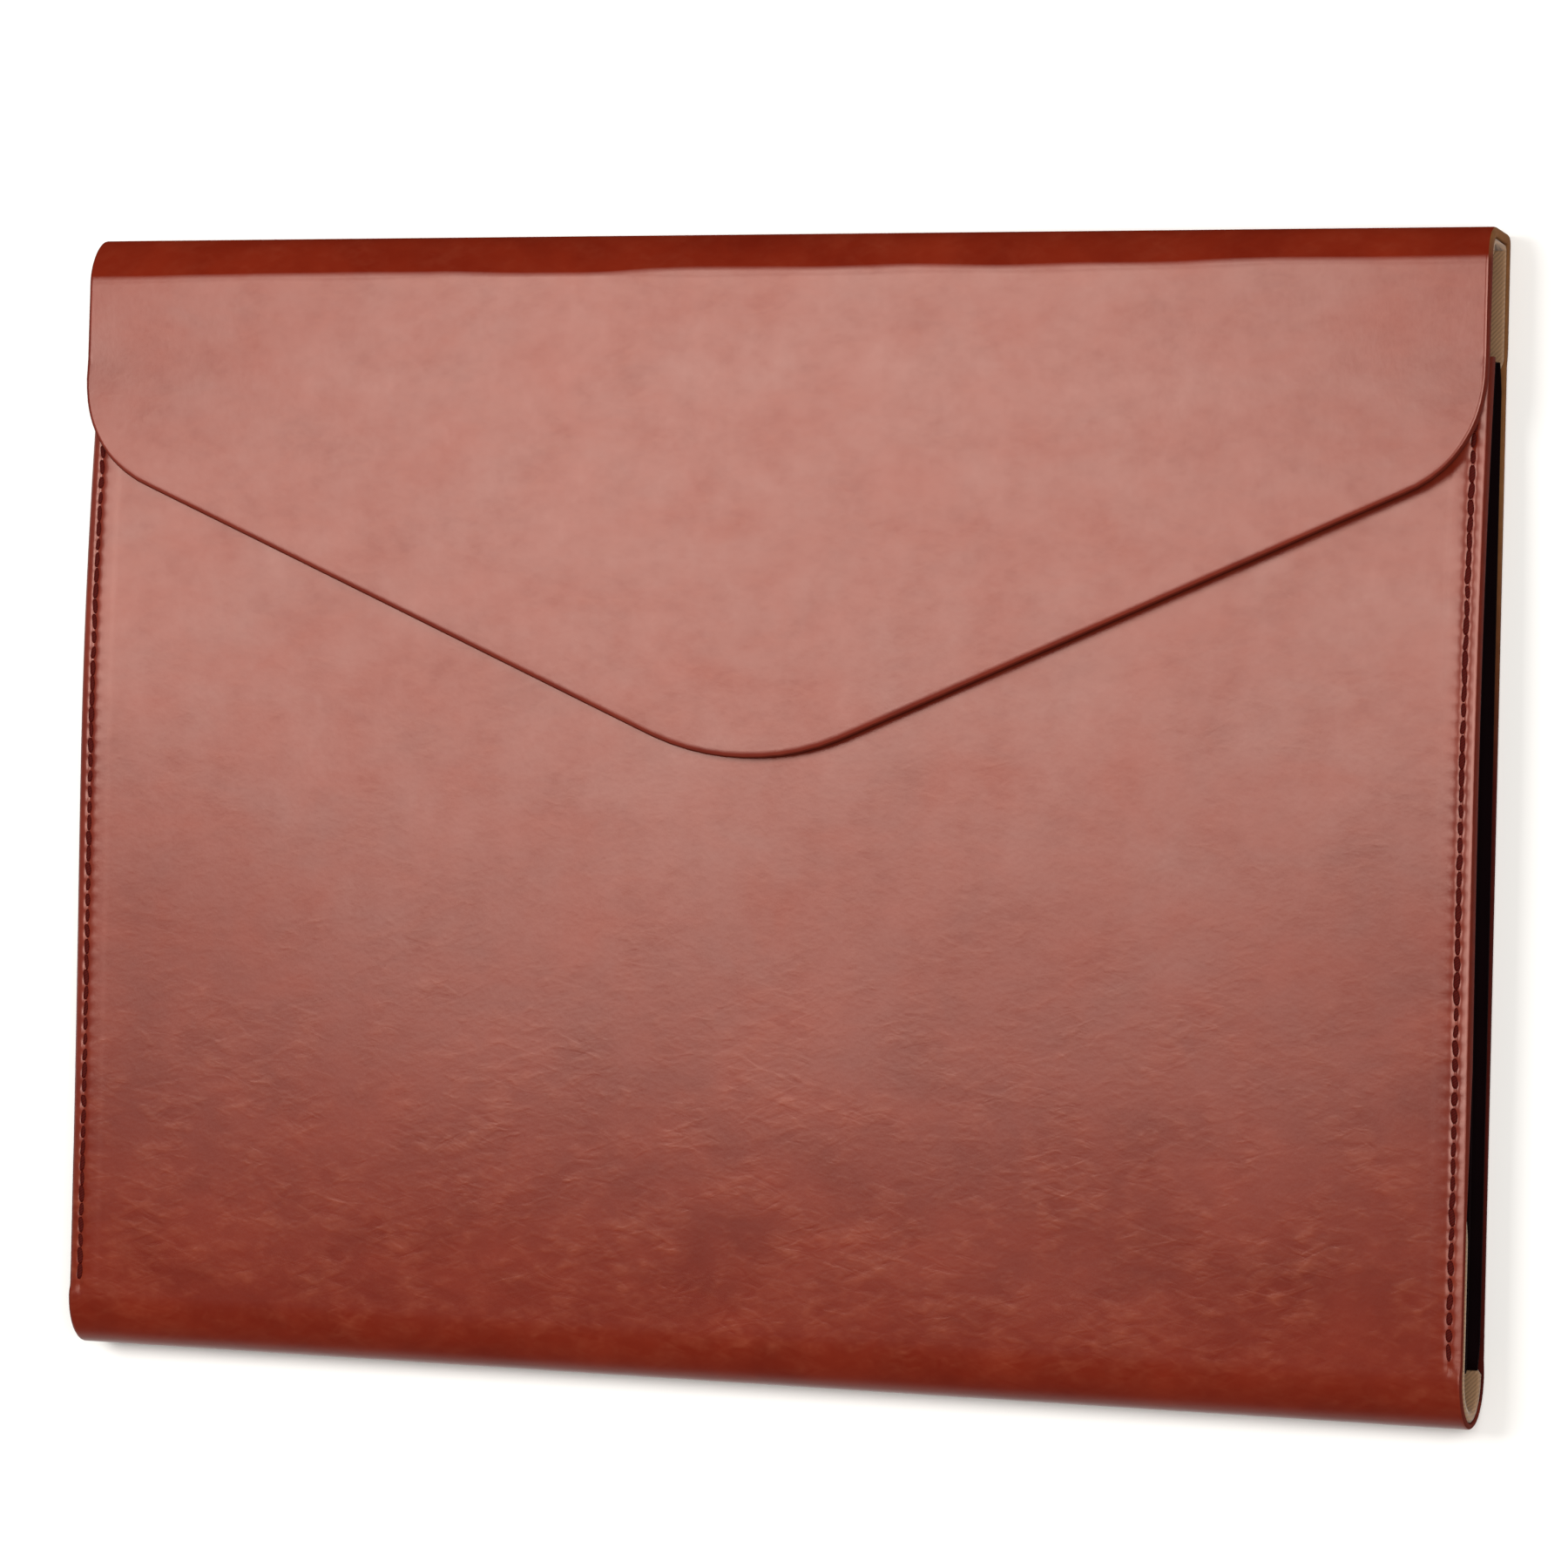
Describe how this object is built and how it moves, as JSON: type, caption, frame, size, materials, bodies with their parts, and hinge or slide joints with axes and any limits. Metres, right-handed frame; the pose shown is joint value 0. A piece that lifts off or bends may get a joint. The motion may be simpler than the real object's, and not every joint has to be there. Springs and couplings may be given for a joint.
{
  "type": "document envelope bag",
  "caption": "Stiff envelope-style document bag: a lined leather sheet folded into a flat pocket with a wide pointed flap, closed at the sides by black pleated gussets.",
  "frame": {"origin": "middle of the back panel's outer face, on which the bag lies", "axes": "+X across the bag to the right as seen from its front, +Y up the bag to the fold of the flap, +Z out of the front"},
  "size_m": [0.33, 0.25, 0.0181],
  "materials": {
    "leather": "glazed red-brown leather with a hazy sheen",
    "lining": "matt khaki lining cloth",
    "gusset": "black coated cloth"
  },
  "bodies": {
    "root": {"leather_wrap": "leather", "lining": "lining", "gusset_left": "gusset", "gusset_right": "gusset"}
  },
  "joints": []
}
